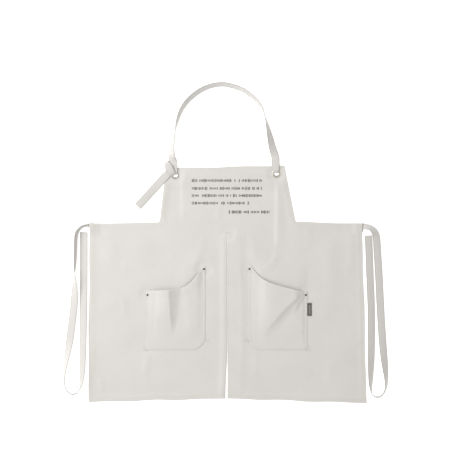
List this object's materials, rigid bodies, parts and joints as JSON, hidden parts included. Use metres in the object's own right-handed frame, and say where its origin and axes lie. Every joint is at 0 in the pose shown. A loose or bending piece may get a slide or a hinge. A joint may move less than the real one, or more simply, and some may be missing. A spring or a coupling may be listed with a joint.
{
  "type": "split work apron",
  "caption": "Canvas work apron laid flat: bib with eyelets and adjustable neck strap, waist with side ties, split skirt with open patch pockets.",
  "frame": {"origin": "middle of the outline of the apron without its free straps, on the surface that it lies on", "axes": "+X to the right as seen from the front, +Y from the hem towards the neck strap, +Z out of the front of the cloth"},
  "size_m": [1.0399, 1.0256, 0.027],
  "materials": {
    "canvas": "matte plain weave, undyed natural cotton",
    "strap_canvas": "matte folded canvas strap with edge stitching",
    "eyelet_nickel": "polished nickel, lightly handled",
    "rivet_metal": "dark antique plating, satin",
    "tag": "dense woven label",
    "thread": "twisted polyester-cotton sewing thread"
  },
  "bodies": {
    "apron_body": {"bib_and_waist": "canvas", "left_eyelet": "eyelet_nickel", "right_eyelet": "eyelet_nickel", "left_eyelet_washer": "eyelet_nickel", "right_eyelet_washer": "eyelet_nickel", "left_tie_end": "strap_canvas", "right_tie_end": "strap_canvas", "strap_knot": "strap_canvas", "strap_anchor": "strap_canvas", "slit_bartack": "thread"},
    "left_leg": {"left_leg_panel": "canvas", "left_pocket": "canvas", "left_inner_rivet": "rivet_metal", "left_outer_rivet": "rivet_metal", "left_inner_burr": "rivet_metal", "left_outer_burr": "rivet_metal"},
    "right_leg": {"right_leg_panel": "canvas", "right_pocket": "canvas", "right_inner_rivet": "rivet_metal", "right_outer_rivet": "rivet_metal", "right_inner_burr": "rivet_metal", "right_outer_burr": "rivet_metal", "woven_tag": "tag"},
    "neck_loop": {"neck_strap": "strap_canvas"},
    "tail": {"strap_tail": "strap_canvas"},
    "left_tie_cord": {"left_tie": "strap_canvas"},
    "right_tie_cord": {"right_tie": "strap_canvas"}
  },
  "joints": [
    {"name": "left_leg_fold", "type": "hinge", "parent": "apron_body", "child": "left_leg", "pos_m": [-0.2235, 0.16, 0.0012], "axis": [-1, 0, 0], "range_deg": [0, 100]},
    {"name": "right_leg_fold", "type": "hinge", "parent": "apron_body", "child": "right_leg", "pos_m": [0.219, 0.16, 0.0012], "axis": [-1, 0, 0], "range_deg": [0, 100]},
    {"name": "neck_strap_lift", "type": "hinge", "parent": "apron_body", "child": "neck_loop", "pos_m": [-0.013, 0.4, 0.008], "axis": [1, 0, 0], "range_deg": [0, 100]},
    {"name": "strap_tail_swing", "type": "hinge", "parent": "apron_body", "child": "tail", "pos_m": [-0.2, 0.35, 0.0068], "axis": [0, 0, -1], "range_deg": [0, 70]},
    {"name": "left_tie_swing", "type": "hinge", "parent": "apron_body", "child": "left_tie_cord", "pos_m": [-0.446, 0.187, 0.0125], "axis": [0, 0, -1], "range_deg": [0, 90]},
    {"name": "right_tie_swing", "type": "hinge", "parent": "apron_body", "child": "right_tie_cord", "pos_m": [0.4395, 0.187, 0.0125], "axis": [0, 0, 1], "range_deg": [0, 90]}
  ]
}
